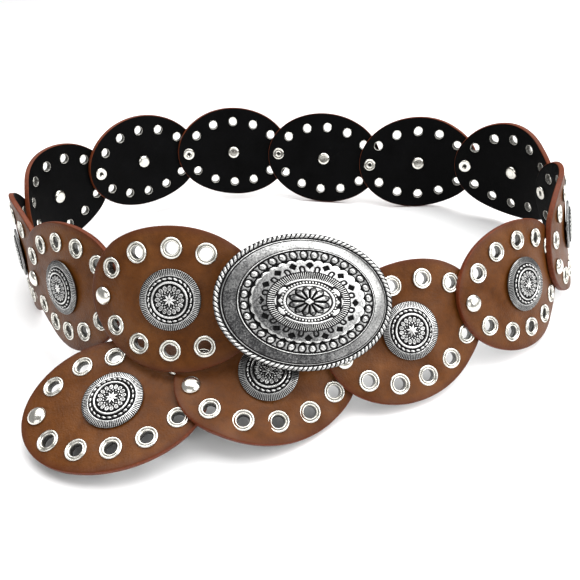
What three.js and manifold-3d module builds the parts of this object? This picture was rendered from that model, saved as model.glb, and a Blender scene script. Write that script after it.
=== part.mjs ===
// Concho belt: fourteen oval leather plates riveted end over end into a closed loop that stands on
// its lower edge, each with a round cast concho, and an oval cast buckle over the meeting ends.
// Millimetres, +Z up, the buckle faces -Y, the origin is at the bottom centre of the whole belt.
import * as THREE from "three";
import Module from "manifold-3d";

const wasm = await Module();
wasm.setup();

// Leather plates
const PLATE_LENGTH = 86;
const PLATE_HEIGHT = 66;
const PLATE_THICKNESS = 2.9;
const PLATE_GAP = 0.4; // between two plates where they lie on each other
const RIVET_INSET = 7.8; // from a plate's end to the middle of its rivet
const EYELET_INSET = 10; // from a plate's upper or lower edge to the middle of the eyelet there
const RIVET_SPACING = PLATE_LENGTH - 2 * RIVET_INSET;
const HOLE_OVAL_HEIGHT = PLATE_HEIGHT - 2 * EYELET_INSET; // of the oval that the holes stand on
const HOLES_PER_PLATE = 12; // ten eyelets and the two rivets
const EYELET_OPENING = 5.6;
const RIVET_HOLE = 4;
const FLAT_END = 16.1; // straight part at each end of a plate, where it lies on its neighbour
const INNER_RING_SHARE = 0.62; // of the plate's size: the facets inside it are the plain middle

// Fasteners and conchos
const PIECE_GAP = 0.3; // between metal and leather
const CONCHO_GAP = 0.4; // between a concho and the bent leather under it
const SHANK_DIAMETER = 2.8;
const RIVET_CAP_DIAMETER = 8.8;
const RIVET_CAP_RISE = 2.2;
const RIVET_BACK_DIAMETER = 8.6;
const RIVET_BACK_RISE = 1.1;
const CONCHO_DIAMETER = 28;
const CONCHO_RISE = 3.1;
const SCREW_HEAD_DIAMETER = 9;
const SCREW_HEAD_RISE = 1.9;

// Buckle
const BUCKLE_WIDTH = 84;
const BUCKLE_HEIGHT = 62;
const BUCKLE_WALL = 1.8;
const BUCKLE_BEAD_COUNT = 32;
const BUCKLE_CENTRE = { right: 23.3, up: -0.8 }; // from the first plate's right rivet hole
const BUCKLE_STAND_OFF = 9.4; // from the first plate's leather to the buckle's back edge
const BUCKLE_TURN = -1.8; // degrees, in its own plane
const BUCKLE_PITCH = -2; // degrees, its lower edge forward
const POST_DIAMETER = 7;
const POST_WASHER_DIAMETER = 8;
const POST_WASHER_THICKNESS = 1;
const POST_INTO_BUCKLE = 4.8; // past the buckle's back edge, into its hollow back
const HOOK_DIAMETER = 3;
const HOOK_TIP_LENGTH = 6;
const HOOK_NECK = 2; // from the leather to where the hook grows thicker
const HOOK_INTO_BUCKLE = 4; // past the buckle's back edge
const HOOK_NECK_DIAMETER = 4.2;
const HOOK_SLACK = 1; // from the leather to the hook's tip behind it
// The plate whose eyelet the hook goes through, and that eyelet, counted anticlockwise from the
// plate's right end as seen from outside.
const HOOK_IN = { plate: 12, hole: 4 };

// How the first plate stands, in degrees: its heading, how far it leans back, and its turn in its plane
const FIRST_PLATE = { heading: -3, lean: 30, turn: -2.5 };

// How each plate bends and turns, in degrees, from the buckle round to the free tail. right and left
// are the bends of its two halves, away from the wearer; twist is the turn of one end against the
// other; swing is its turn about the rivet that holds it to the plate before.
const PLATES = [
  { right: 18, left: 27, twist: -12, swing: 0 },
  { right: 11, left: 8, twist: -9, swing: -1 },
  { right: 13, left: 22, twist: -7, swing: -15.5 },
  { right: 34, left: 16, twist: -8, swing: -10 },
  { right: 8, left: 18, twist: -3, swing: 9.5 },
  { right: 20, left: 5, twist: -7, swing: 4.5 },
  { right: 7, left: -1, twist: -2, swing: 4.5 },
  { right: -1, left: 21, twist: 14, swing: -9 },
  { right: 29, left: 21, twist: 8, swing: 0 },
  { right: 32, left: 9, twist: 15, swing: 5 },
  { right: 18, left: 10, twist: 8, swing: -30 },
  { right: 8, left: -1, twist: 15, swing: 5.5 },
  { right: 2, left: 1, twist: 30, swing: -14.5 },
  { right: 5, left: 8, twist: -2, swing: -4 },
];

// Rings of a concho's front from its edge inward: share of its radius, height over its back, points
const CONCHO_FRONT = [
  { share: 0.97, height: 0.9, points: 12 },
  { share: 0.72, height: 1.7, points: 12 },
  { share: 0.45, height: 2.8, points: 6 },
];

// Rings of the buckle's front from its edge to its middle: inset from the outline at the top, height
// over the back edge, number of points, and how far every second point stands higher. At the sides the
// insets are longer.
const SIDE_INSET = 1.25;
const BEAD_INSET = 10.2;
const BUCKLE_FRONT = [
  { inset: 0, height: 1.2, points: 2 * BUCKLE_BEAD_COUNT, ripple: 0.3 },
  { inset: 1.3, height: 2.2, points: 2 * BUCKLE_BEAD_COUNT, ripple: 0.4 },
  { inset: 2.6, height: 1.7, points: 2 * BUCKLE_BEAD_COUNT, ripple: 0 },
  { inset: 8, height: 5.0, points: 2 * BUCKLE_BEAD_COUNT, ripple: 0 },
  { inset: BEAD_INSET, height: 4.6, points: 2 * BUCKLE_BEAD_COUNT, ripple: 1.1 },
  { inset: 12.2, height: 4.7, points: 2 * BUCKLE_BEAD_COUNT, ripple: 0 },
  { inset: 13, height: 6.0, points: 2 * BUCKLE_BEAD_COUNT, ripple: 0.2 },
  { inset: 19, height: 6.8, points: BUCKLE_BEAD_COUNT, ripple: 0 },
  { inset: 22, height: 7.3, points: BUCKLE_BEAD_COUNT, ripple: 0 },
  { inset: 24.8, height: 6.7, points: BUCKLE_BEAD_COUNT / 2, ripple: 0.5 },
];
const BUCKLE_MIDDLE_HEIGHT = 7.4;

// Rings of its hollow back, from near its middle to its edge, with the front's height over them
const BUCKLE_BACK = [
  { inset: 19, frontHeight: 6.8, points: BUCKLE_BEAD_COUNT / 2 },
  { inset: 9.5, frontHeight: 4.8, points: BUCKLE_BEAD_COUNT },
  { inset: 2.4, frontHeight: BUCKLE_WALL, points: BUCKLE_BEAD_COUNT },
  { inset: 0.5, frontHeight: BUCKLE_WALL, points: 2 * BUCKLE_BEAD_COUNT },
];

const rad = THREE.MathUtils.degToRad;
const MIDDLE = PLATE_LENGTH / 2 - FLAT_END; // half the length of the part of a plate that bends

// A closed surface made of rings of points. A ring is a list of { at, turn }: the point's number and
// its place round the ring from 0 to 1.
class Shell {
  constructor() {
    this.points = [];
    this.faces = [];
  }

  ring(points, turns) {
    return points.map((p, i) => {
      this.points.push(p);
      return { at: this.points.length - 1, turn: turns ? turns[i] : i / points.length };
    });
  }

  // Joins ring a to ring b with triangles, faces on the outside when b is above or inside a.
  stitch(a, b, flip = false) {
    const next = (ring, i) => (i + 1 < ring.length ? ring[i + 1].turn : ring[0].turn + 1);
    let i = 0;
    let j = 0;
    while (i < a.length || j < b.length) {
      const here = a[i % a.length].at;
      const there = b[j % b.length].at;
      const alongA = j >= b.length || (i < a.length && next(a, i) <= next(b, j));
      const third = alongA ? a[(i + 1) % a.length].at : b[(j + 1) % b.length].at;
      const face = alongA ? [here, third, there] : [here, third, there];
      this.faces.push(flip ? face.reverse() : face);
      if (alongA) i += 1;
      else j += 1;
    }
  }

  close(ring, point, flip = false) {
    this.points.push(point);
    const pole = this.points.length - 1;
    ring.forEach((r, i) => {
      const face = [r.at, ring[(i + 1) % ring.length].at, pole];
      this.faces.push(flip ? face.reverse() : face);
    });
  }

  geometry(matrix) {
    const g = new THREE.BufferGeometry();
    const flat = this.points.flatMap((p) => [p.x, p.y, p.z]);
    g.setAttribute("position", new THREE.Float32BufferAttribute(flat, 3));
    g.setIndex(this.faces.flat());
    if (matrix) g.applyMatrix4(matrix);
    return g;
  }
}

// Angles that put count points at even distances along an oval, the first at its right end.
function evenAngles(width, height, count) {
  const steps = 1440;
  const lengths = [0];
  for (let i = 1; i <= steps; i++) {
    const angle = ((i - 0.5) / steps) * 2 * Math.PI;
    lengths.push(lengths[i - 1] + Math.hypot(width * Math.sin(angle), height * Math.cos(angle)));
  }
  const angles = [];
  let i = 0;
  for (let k = 0; k < count; k++) {
    const wanted = (k / count) * lengths[steps];
    while (lengths[i + 1] < wanted) i += 1;
    const share = (wanted - lengths[i]) / (lengths[i + 1] - lengths[i]);
    angles.push(((i + share) / steps) * 2 * Math.PI);
  }
  return angles;
}

// Where a point of the flat plate goes when the plate is bent and twisted: along from the middle to
// the right, up, and out from the middle of the leather. The frame there has x along and z out.
function bent(plate, along, up, out) {
  const reach = THREE.MathUtils.clamp(along, -MIDDLE, MIDDLE);
  const total = rad(reach < 0 ? plate.left : plate.right);
  const curve = total / MIDDLE;
  const angle = curve * reach;
  const x = Math.abs(curve) < 1e-9 ? reach : Math.sin(angle) / curve;
  const z = Math.abs(curve) < 1e-9 ? 0 : -(1 - Math.cos(angle)) / curve;
  const turn = (rad(plate.twist) * reach) / (2 * MIDDLE);
  const frame = new THREE.Matrix4()
    .makeTranslation(x, 0, z)
    .multiply(new THREE.Matrix4().makeRotationY(angle))
    .multiply(new THREE.Matrix4().makeRotationX(turn));
  const point = new THREE.Vector3(along - reach, up, out).applyMatrix4(frame);
  return { point, frame: frame.setPosition(point) };
}

// The chain: each plate's right end lies under the left end of the plate before it.
function placePlates() {
  const poses = [
    new THREE.Matrix4()
      .makeRotationZ(rad(FIRST_PLATE.heading))
      .multiply(new THREE.Matrix4().makeRotationX(rad(90 - FIRST_PLATE.lean)))
      .multiply(new THREE.Matrix4().makeRotationZ(rad(FIRST_PLATE.turn))),
  ];
  for (let i = 1; i < PLATES.length; i++) {
    const over = bent(PLATES[i - 1], -RIVET_SPACING / 2, 0, 0).frame;
    const under = bent(PLATES[i], RIVET_SPACING / 2, 0, 0).frame;
    poses.push(
      poses[i - 1]
        .clone()
        .multiply(over)
        .multiply(new THREE.Matrix4().makeTranslation(0, 0, -(PLATE_THICKNESS + PLATE_GAP)))
        .multiply(new THREE.Matrix4().makeRotationZ(rad(PLATES[i].swing)))
        .multiply(under.clone().invert()),
    );
  }
  return poses;
}

function circle(radius, height, count, phase = 0) {
  return Array.from({ length: count }, (_, i) => {
    const angle = phase + (i / count) * 2 * Math.PI;
    return new THREE.Vector3(radius * Math.cos(angle), radius * Math.sin(angle), height);
  });
}

// One leather plate as two bent faces with their holes, joined by walls round the edge and holes.
function plateGeometry(plate, pose) {
  const shell = new Shell();
  const angles = evenAngles(RIVET_SPACING, HOLE_OVAL_HEIGHT, 2 * HOLES_PER_PLATE);
  const oval = (angle, width, height) => ({
    x: (width / 2) * Math.cos(angle),
    y: (height / 2) * Math.sin(angle),
  });
  const onFace = (list, out) => list.map((p) => bent(plate, p.x, p.y, out).point);
  const faces = [PLATE_THICKNESS / 2, -PLATE_THICKNESS / 2].map((out) => {
    const flip = out < 0;
    const edge = shell.ring(
      onFace(angles.map((a) => oval(a, PLATE_LENGTH, PLATE_HEIGHT)), out),
    );
    const inner = angles
      .filter((_, i) => i % 2 === 1)
      .map((a) => oval(a, INNER_RING_SHARE * PLATE_LENGTH, INNER_RING_SHARE * 0.66 * PLATE_HEIGHT));
    const innerRing = shell.ring(onFace(inner, out));
    const holes = [];
    for (let k = 0; k < HOLES_PER_PLATE; k++) {
      const centre = oval(angles[2 * k], RIVET_SPACING, HOLE_OVAL_HEIGHT);
      const last = 2 * HOLES_PER_PLATE;
      const before = (2 * k + last - 1) % last;
      const innerBefore = (k + HOLES_PER_PLATE - 1) % HOLES_PER_PLATE;
      const cell = [
        { at: edge[before].at, p: oval(angles[before], PLATE_LENGTH, PLATE_HEIGHT) },
        { at: edge[2 * k].at, p: oval(angles[2 * k], PLATE_LENGTH, PLATE_HEIGHT) },
        { at: edge[2 * k + 1].at, p: oval(angles[2 * k + 1], PLATE_LENGTH, PLATE_HEIGHT) },
        { at: innerRing[k].at, p: inner[k] },
        { at: innerRing[innerBefore].at, p: inner[innerBefore] },
      ];
      const direction = (p) => Math.atan2(p.y - centre.y, p.x - centre.x);
      const start = direction(cell[0].p);
      const turnOf = (p) => {
        const t = (direction(p) - start) / (2 * Math.PI);
        return t < -1e-9 ? t + 1 : Math.max(t, 0);
      };
      const isRivet = k % (HOLES_PER_PLATE / 2) === 0;
      const radius = (isRivet ? RIVET_HOLE : EYELET_OPENING) / 2 / Math.cos(Math.PI / 6);
      const rim = circle(radius, 0, 6, start).map((p) => ({ x: p.x + centre.x, y: p.y + centre.y }));
      const hole = shell.ring(onFace(rim, out));
      shell.stitch(cell.map((c) => ({ at: c.at, turn: turnOf(c.p) })), hole, flip);
      holes.push(hole);
    }
    const phase = angles[1];
    const middleHole = shell.ring(
      onFace(circle(RIVET_HOLE / 2 / Math.cos(Math.PI / 6), 0, 6, phase), out),
    );
    const middle = shell.ring(onFace(circle(SCREW_HEAD_DIAMETER / 2 + 2, 0, 6, phase), out));
    shell.stitch(innerRing, middle, flip);
    shell.stitch(middle, middleHole, flip);
    return { edge, holes: [...holes, middleHole] };
  });
  shell.stitch(faces[1].edge, faces[0].edge);
  faces[0].holes.forEach((hole, i) => shell.stitch(hole, faces[1].holes[i]));
  return shell.geometry(pose);
}

// A turned body from a list of rings of radius, height and points, between two poles on its axis.
function turned(bottom, rings, top) {
  const shell = new Shell();
  const made = rings.map((r) => shell.ring(circle(r.radius, r.height, r.points)));
  shell.close(made[0], new THREE.Vector3(0, 0, bottom), true);
  for (let i = 1; i < made.length; i++) shell.stitch(made[i - 1], made[i]);
  shell.close(made[made.length - 1], new THREE.Vector3(0, 0, top));
  return shell;
}

// Distance from the middle of the leather at which a flat disc on the plate's centre clears it.
function discHeight(plate, radius, side) {
  const rim = circle(radius, 0, 24).map((p) => {
    return side * bent(plate, p.x, p.y, (side * PLATE_THICKNESS) / 2).point.z;
  });
  return Math.max(PLATE_THICKNESS / 2, ...rim) + CONCHO_GAP;
}

function conchoGeometry(plate, pose) {
  const outer = discHeight(plate, CONCHO_DIAMETER / 2, 1);
  const inner = discHeight(plate, SCREW_HEAD_DIAMETER / 2, -1);
  const r = CONCHO_DIAMETER / 2;
  const head = SCREW_HEAD_DIAMETER / 2;
  const rings = [
    { radius: 0.7 * head, height: -inner - 0.72 * SCREW_HEAD_RISE, points: 6 },
    { radius: head, height: -inner, points: 6 },
    { radius: SHANK_DIAMETER / 2, height: -inner, points: 6 },
    { radius: SHANK_DIAMETER / 2, height: outer, points: 6 },
    { radius: r, height: outer, points: 12 },
    ...CONCHO_FRONT.map((ring) => ({
      radius: ring.share * r,
      height: outer + ring.height,
      points: ring.points,
    })),
  ];
  return turned(-inner - SCREW_HEAD_RISE, rings, outer + CONCHO_RISE).geometry(pose);
}

// A rivet from its cap, at height zero in its frame, down through the given depth of leather.
function rivetGeometry(depth, pose) {
  const cap = RIVET_CAP_DIAMETER / 2;
  const rings = [
    { radius: RIVET_BACK_DIAMETER / 2, height: -depth, points: 6 },
    { radius: SHANK_DIAMETER / 2, height: -depth, points: 6 },
    { radius: SHANK_DIAMETER / 2, height: 0, points: 6 },
    { radius: cap, height: 0, points: 8 },
    { radius: 0.68 * cap, height: 0.72 * RIVET_CAP_RISE, points: 8 },
  ];
  return turned(-depth - RIVET_BACK_RISE, rings, RIVET_CAP_RISE).geometry(pose);
}

function solidOf(geometry) {
  return new wasm.Manifold(
    new wasm.Mesh({
      numProp: 3,
      vertProperties: new Float32Array(geometry.attributes.position.array),
      triVerts: new Uint32Array(geometry.index.array),
    }),
  );
}

function rod(from, to, diameter) {
  const axis = to.clone().sub(from);
  const shell = turned(
    0,
    [0, axis.length()].map((height) => ({ radius: diameter / 2, height, points: 8 })),
    axis.length(),
  );
  const turn = new THREE.Quaternion().setFromUnitVectors(
    new THREE.Vector3(0, 0, 1),
    axis.normalize(),
  );
  const matrix = new THREE.Matrix4().compose(from, turn, new THREE.Vector3(1, 1, 1));
  return solidOf(shell.geometry(matrix));
}

// The buckle's face in its own frame: x to the right, y up, z out, zero at its back edge.
function buckleFace() {
  const shell = new Shell();
  const ovalRing = (inset, height, points, ripple) => {
    const beadRingWidth = BUCKLE_WIDTH - 2 * SIDE_INSET * BEAD_INSET;
    const angles = evenAngles(beadRingWidth, BUCKLE_HEIGHT - 2 * BEAD_INSET, points);
    return shell.ring(
      angles.map((a, i) => {
        const x = (BUCKLE_WIDTH / 2 - SIDE_INSET * inset) * Math.cos(a);
        const y = (BUCKLE_HEIGHT / 2 - inset) * Math.sin(a);
        return new THREE.Vector3(x, y, height + (i % 2 ? 0 : ripple));
      }),
    );
  };
  const back = BUCKLE_BACK.map((r) => ovalRing(r.inset, r.frontHeight - BUCKLE_WALL, r.points, 0));
  const front = BUCKLE_FRONT.map((r) => ovalRing(r.inset, r.height, r.points, r.ripple));
  const rings = [...back, ...front];
  shell.close(rings[0], new THREE.Vector3(0, 0, BUCKLE_MIDDLE_HEIGHT - BUCKLE_WALL), true);
  for (let i = 1; i < rings.length; i++) shell.stitch(rings[i - 1], rings[i]);
  shell.close(rings[rings.length - 1], new THREE.Vector3(0, 0, BUCKLE_MIDDLE_HEIGHT));
  return solidOf(shell.geometry());
}

// The buckle with the post that holds it to the first plate and the hook for the other end of the
// belt, soldered to its back as one piece.
function buckleGeometry(poses) {
  const end = poses[0].clone().multiply(bent(PLATES[0], RIVET_SPACING / 2, 0, 0).frame);
  const toBuckle = end
    .clone()
    .multiply(
      new THREE.Matrix4().makeTranslation(
        BUCKLE_CENTRE.right,
        BUCKLE_CENTRE.up,
        PLATE_THICKNESS / 2 + BUCKLE_STAND_OFF,
      ),
    )
    .multiply(new THREE.Matrix4().makeRotationX(rad(BUCKLE_PITCH)))
    .multiply(new THREE.Matrix4().makeRotationZ(rad(BUCKLE_TURN)));
  const fromWorld = toBuckle.clone().invert();
  const inBuckle = (matrix, x, y, z) =>
    new THREE.Vector3(x, y, z).applyMatrix4(matrix).applyMatrix4(fromWorld);

  const leather = PLATE_THICKNESS / 2 + PIECE_GAP;
  const postTop = inBuckle(end, 0, 0, leather + BUCKLE_STAND_OFF + POST_INTO_BUCKLE);
  const shoulder = inBuckle(end, 0, 0, leather);
  const washer = inBuckle(end, 0, 0, -leather);
  const washerEnd = inBuckle(end, 0, 0, -leather - POST_WASHER_THICKNESS);

  const plate = PLATES[HOOK_IN.plate - 1];
  const angle = evenAngles(RIVET_SPACING, HOLE_OVAL_HEIGHT, HOLES_PER_PLATE)[HOOK_IN.hole];
  const eyelet = poses[HOOK_IN.plate - 1].clone().multiply(
    bent(
      plate,
      (RIVET_SPACING / 2) * Math.cos(angle),
      (HOLE_OVAL_HEIGHT / 2) * Math.sin(angle),
      0,
    ).frame,
  );
  const behind = -PLATE_THICKNESS / 2 - HOOK_SLACK - HOOK_DIAMETER / 2;
  const bend = inBuckle(eyelet, 0, 0, behind);
  const through = inBuckle(eyelet, 0, 0, leather + HOOK_NECK);
  const hookTop = new THREE.Vector3(through.x, through.y, HOOK_INTO_BUCKLE);
  const tip = inBuckle(eyelet, -HOOK_TIP_LENGTH, 0, behind);
  const backOfBend = inBuckle(eyelet, 0, 0, behind - HOOK_DIAMETER / 2);

  const pieces = [
    buckleFace(),
    rod(shoulder, postTop, POST_DIAMETER),
    rod(washer, shoulder.clone().lerp(postTop, 0.5), SHANK_DIAMETER),
    rod(washerEnd, washer, POST_WASHER_DIAMETER),
    rod(backOfBend, through.clone().lerp(hookTop, 0.5), HOOK_DIAMETER),
    rod(through, hookTop, HOOK_NECK_DIAMETER),
    rod(tip, bend, HOOK_DIAMETER),
  ];
  const joined = wasm.Manifold.union(pieces).getMesh();
  const g = new THREE.BufferGeometry();
  const positions = new Float32Array(joined.vertProperties);
  g.setAttribute("position", new THREE.BufferAttribute(positions, 3));
  g.setIndex(new THREE.BufferAttribute(new Uint32Array(joined.triVerts), 1));
  return g.applyMatrix4(toBuckle);
}

const group = new THREE.Group();

function add(name, geometry, colour, roughness, metalness) {
  const material = new THREE.MeshStandardMaterial({ color: colour, roughness, metalness });
  const mesh = new THREE.Mesh(geometry, material);
  mesh.name = name;
  group.add(mesh);
}

const poses = placePlates();
PLATES.forEach((plate, i) => {
  const number = String(i + 1).padStart(2, "0");
  add("plate_" + number, plateGeometry(plate, poses[i]), 0x7b4a22, 0.55, 0);
  add("concho_" + number, conchoGeometry(plate, poses[i]), 0xb4b4b0, 0.35, 1);
  const isTail = i === PLATES.length - 1;
  const leather = isTail ? PLATE_THICKNESS : 2 * PLATE_THICKNESS + PLATE_GAP;
  const cap = poses[i]
    .clone()
    .multiply(
      bent(plate, -RIVET_SPACING / 2, 0, PLATE_THICKNESS / 2 + PIECE_GAP).frame,
    );
  add("rivet_" + number, rivetGeometry(leather + 2 * PIECE_GAP, cap), 0xd8d8d6, 0.2, 1);
});
add("buckle", buckleGeometry(poses), 0xa8a8a4, 0.35, 1);

const box = new THREE.Box3().setFromObject(group);
const middle = box.getCenter(new THREE.Vector3());
group.children.forEach((mesh) => mesh.geometry.translate(-middle.x, -middle.y, -box.min.z));

export default group;
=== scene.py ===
"""Concho belt standing as a loop: bent oval leather plates with rolled eyelets, dome rivets, cast
conchos and an oval cast buckle. Lengths are in millimetres and become metres as each mesh is made."""
import math
import bpy
import numpy as np
from mathutils import Matrix, Vector
from mathutils.geometry import delaunay_2d_cdt


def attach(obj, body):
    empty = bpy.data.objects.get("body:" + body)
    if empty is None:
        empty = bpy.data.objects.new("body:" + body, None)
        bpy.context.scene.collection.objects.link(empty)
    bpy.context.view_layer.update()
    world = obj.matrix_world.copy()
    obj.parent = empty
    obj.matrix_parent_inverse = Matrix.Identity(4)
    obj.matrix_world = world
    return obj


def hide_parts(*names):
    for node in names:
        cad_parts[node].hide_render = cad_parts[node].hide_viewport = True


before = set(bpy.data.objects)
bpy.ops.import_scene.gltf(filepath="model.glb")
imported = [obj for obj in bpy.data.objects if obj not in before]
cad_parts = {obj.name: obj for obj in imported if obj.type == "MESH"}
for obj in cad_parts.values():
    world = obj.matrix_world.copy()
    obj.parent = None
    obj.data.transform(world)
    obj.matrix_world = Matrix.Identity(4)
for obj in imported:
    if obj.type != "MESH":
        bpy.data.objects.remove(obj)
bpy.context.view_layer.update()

MM = 0.001
rng = np.random.default_rng(7)

# Leather plates, as in the solids
PLATE_LENGTH, PLATE_HEIGHT, PLATE_THICKNESS, PLATE_GAP = 86.0, 66.0, 2.9, 0.4
RIVET_SPACING, HOLE_OVAL_HEIGHT, HOLES_PER_PLATE = 70.4, 46.0, 12
FLAT_END = 16.1
MIDDLE = PLATE_LENGTH / 2 - FLAT_END
ORIGIN = np.array([-55.7633, -85.9711, 54.7479])
FIRST_PLATE = {"heading": -3, "lean": 30, "turn": -2.5}
PLATE_COLUMNS = ("right", "left", "twist", "swing")
PLATES = [dict(zip(PLATE_COLUMNS, row)) for row in (
    (18, 27, -12, 0),
    (11, 8, -9, -1),
    (13, 22, -7, -15.5),
    (34, 16, -8, -10),
    (8, 18, -3, 9.5),
    (20, 5, -7, 4.5),
    (7, -1, -2, 4.5),
    (-1, 21, 14, -9),
    (29, 21, 8, 0),
    (32, 9, 15, 5),
    (18, 10, 8, -30),
    (8, -1, 15, 5.5),
    (2, 1, 30, -14.5),
    (5, 8, -2, -4),
)]
LEATHER_HOLE_RADIUS, RIVET_HOLE_PLAY = 2.95, 0.2

# Rounded edge of a plate, from the outside to the middle: inset as a share of the rounding, and height
# as a share of half the thickness
EDGE_ROUNDING = 0.95
EDGE_TOP = [(0.6, 0.985), (0.3, 0.93), (0.1, 0.82), (0, 0.6), (0, 0.3)]
EDGE_PROFILE = EDGE_TOP + [(0, 0)] + [(inset, -height) for inset, height in reversed(EDGE_TOP)]
UNDYED_EDGE_STRIPS = 2

# Net of a plate's faces: its grid, the points of each rim and hole, and the loops that run beside them
FACE_GRID, FACE_ROW_SHARE = 2.7, 0.87
RIM_POINTS, HOLE_POINTS = 128, 20
RIM_LOOPS = ((1.1, 100), (2.7, 84))
HOLE_LOOPS = (0.45, 1.0, 1.8)
CLEAR_OF_RIM, CLEAR_OF_HOLE = 5, 2.9

# How deep the fasteners draw the leather in, and how far around them
DRAWN_OUTSIDE, DRAWN_INSIDE, DRAWN_AROUND = 0.25, 0.55, 1.1

# Fasteners and conchos
PIECE_GAP, CONCHO_GAP = 0.3, 0.4
CONCHO_RADIUS, CONCHO_TOP, POST_INTO_CONCHO = 14.0, 3.0, 0.2
SCREW_HEAD_DIAMETER, SCREW_HEAD_RISE = 9.0, 1.9
RIVET_CAP_DIAMETER, RIVET_CAP_RISE = 8.8, 2.2
RIVET_BACK_DIAMETER, RIVET_BACK_RISE = 8.6, 1.1
SHANK_DIAMETER = 2.8
EYELET_DIAMETER = 10.0

# Points round each turned piece, where the last one meets the first, and points round each casting
EYELET_POINTS, CAP_POINTS, SHANK_POINTS = 25, 41, 17
CONCHO_POINTS, BUCKLE_POINTS = 192, 600
WELD_METRES = 2e-6

# Blackening of the castings' backs and of their posts
BACK_PATINA, POST_PATINA = 0.42, 0.3

# Buckle
BUCKLE_CENTRE = {"right": 23.3, "up": -0.8}
BUCKLE_STAND_OFF, BUCKLE_TURN, BUCKLE_PITCH = 9.4, -1.8, -2.0
POST_DIAMETER, POST_INTO_BUCKLE, SHANK_INTO_POST = 7.0, 4.8, 1
WASHER_DIAMETER, WASHER_THICKNESS = 8.0, 1
HOOK_DIAMETER, HOOK_TIP_LENGTH, HOOK_SLACK = 3.0, 6.0, 1.0
HOOK_NECK, HOOK_NECK_DIAMETER, HOOK_INTO_BUCKLE = 2.0, 4.2, 4.0
HOOK_IN = {"plate": 12, "hole": 4}
BUCKLE_FRONT_TOP, BUCKLE_BACK_TOP = 7.3, 4.9

# Ovals of the buckle's hollow back, from its edge inward: half the width, half the height, and depth
BUCKLE_BACK = ((41.7, 30.7, 0.25), (41.2, 30.2, 0), (39.4, 28.7, 0), (37.6, 27.2, 0.7),
               (32.0, 23.0, 3.0), (21.5, 14.5, 4.4), (8.0, 6.0, 4.8))

# Rounded end of a pin: where the rounding starts and where its middle is, in radii from the end
PIN_ROUNDING, PIN_ROUNDING_MIDDLE = 0.4, 0.12


# Placing

def even_angles(width, height, count):
    """Angles of points at even distances along an oval, the first at its right end."""
    angle = np.linspace(0, 2 * math.pi, 2881)
    middle = (angle[1:] + angle[:-1]) / 2
    steps = np.hypot(width * np.sin(middle), height * np.cos(middle))
    length = np.concatenate([[0], np.cumsum(steps)])
    return np.interp(np.arange(count) / count * length[-1], length, angle)


def bend_frames(plate, along):
    """Place and axes of the bent middle surface at each distance along the plate."""
    reach = np.clip(along, -MIDDLE, MIDDLE)
    curve = np.radians(np.where(reach < 0, plate["left"], plate["right"])) / MIDDLE
    angle = curve * reach
    flat = np.abs(curve) < 1e-9
    safe = np.where(flat, 1.0, curve)
    x = np.where(flat, reach, np.sin(angle) / safe)
    z = np.where(flat, 0.0, -(1 - np.cos(angle)) / safe)
    turn = math.radians(plate["twist"]) * reach / (2 * MIDDLE)
    return reach, x, z, angle, turn


def bent(plate, along, up, out):
    """Where points of the flat plate go when it is bent and twisted, in the plate's own frame."""
    along, up, out = np.broadcast_arrays(*(np.asarray(v, float) for v in (along, up, out)))
    reach, x, z, angle, turn = bend_frames(plate, along)
    y1 = np.cos(turn) * up - np.sin(turn) * out
    z1 = np.sin(turn) * up + np.cos(turn) * out
    x1 = along - reach
    return np.stack([
        x + np.cos(angle) * x1 + np.sin(angle) * z1,
        y1,
        z - np.sin(angle) * x1 + np.cos(angle) * z1,
    ], axis=-1)


def bent_frame(plate, along, up, out):
    """Matrix of the bent plate's frame at one point: x along, y up, z out of the leather."""
    _, _, _, angle, turn = (float(v) for v in bend_frames(plate, np.float64(along)))
    m = Matrix.Rotation(angle, 4, "Y") @ Matrix.Rotation(turn, 4, "X")
    m.translation = Vector(bent(plate, along, up, out))
    return m


def place_plates():
    """Each plate's right end lies under the left end of the plate before it."""
    first = (
        Matrix.Rotation(math.radians(FIRST_PLATE["heading"]), 4, "Z")
        @ Matrix.Rotation(math.radians(90 - FIRST_PLATE["lean"]), 4, "X")
        @ Matrix.Rotation(math.radians(FIRST_PLATE["turn"]), 4, "Z")
    )
    poses = [Matrix.Translation(ORIGIN) @ first]
    step = Matrix.Translation((0, 0, -(PLATE_THICKNESS + PLATE_GAP)))
    for before, plate in zip(PLATES, PLATES[1:]):
        over = bent_frame(before, -RIVET_SPACING / 2, 0, 0)
        under = bent_frame(plate, RIVET_SPACING / 2, 0, 0)
        swing = Matrix.Rotation(math.radians(plate["swing"]), 4, "Z")
        poses.append(poses[-1] @ over @ step @ swing @ under.inverted())
    return poses


def moved(points, matrix):
    """Points carried along by a matrix."""
    m = np.array(matrix)
    return np.asarray(points) @ m[:3, :3].T + m[:3, 3]


POSES = place_plates()
HOLE_ANGLES = even_angles(RIVET_SPACING, HOLE_OVAL_HEIGHT, HOLES_PER_PLATE)
HOLES = [
    (RIVET_SPACING / 2 * math.cos(a), HOLE_OVAL_HEIGHT / 2 * math.sin(a)) for a in HOLE_ANGLES
]
EYELETS = [k for k in range(HOLES_PER_PLATE) if k % (HOLES_PER_PLATE // 2)]


# Materials

def colour(hex_value):
    """sRGB hex to linear RGBA."""
    parts = [int(hex_value[i:i + 2], 16) / 255 for i in (1, 3, 5)]
    return (*[p / 12.92 if p <= 0.04045 else ((p + 0.055) / 1.055) ** 2.4 for p in parts], 1.0)


def give(tree, socket, value):
    """Links another node's output to a socket, or sets a plain value on it."""
    if isinstance(value, bpy.types.NodeSocket):
        tree.links.new(value, socket)
    else:
        socket.default_value = value


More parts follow.
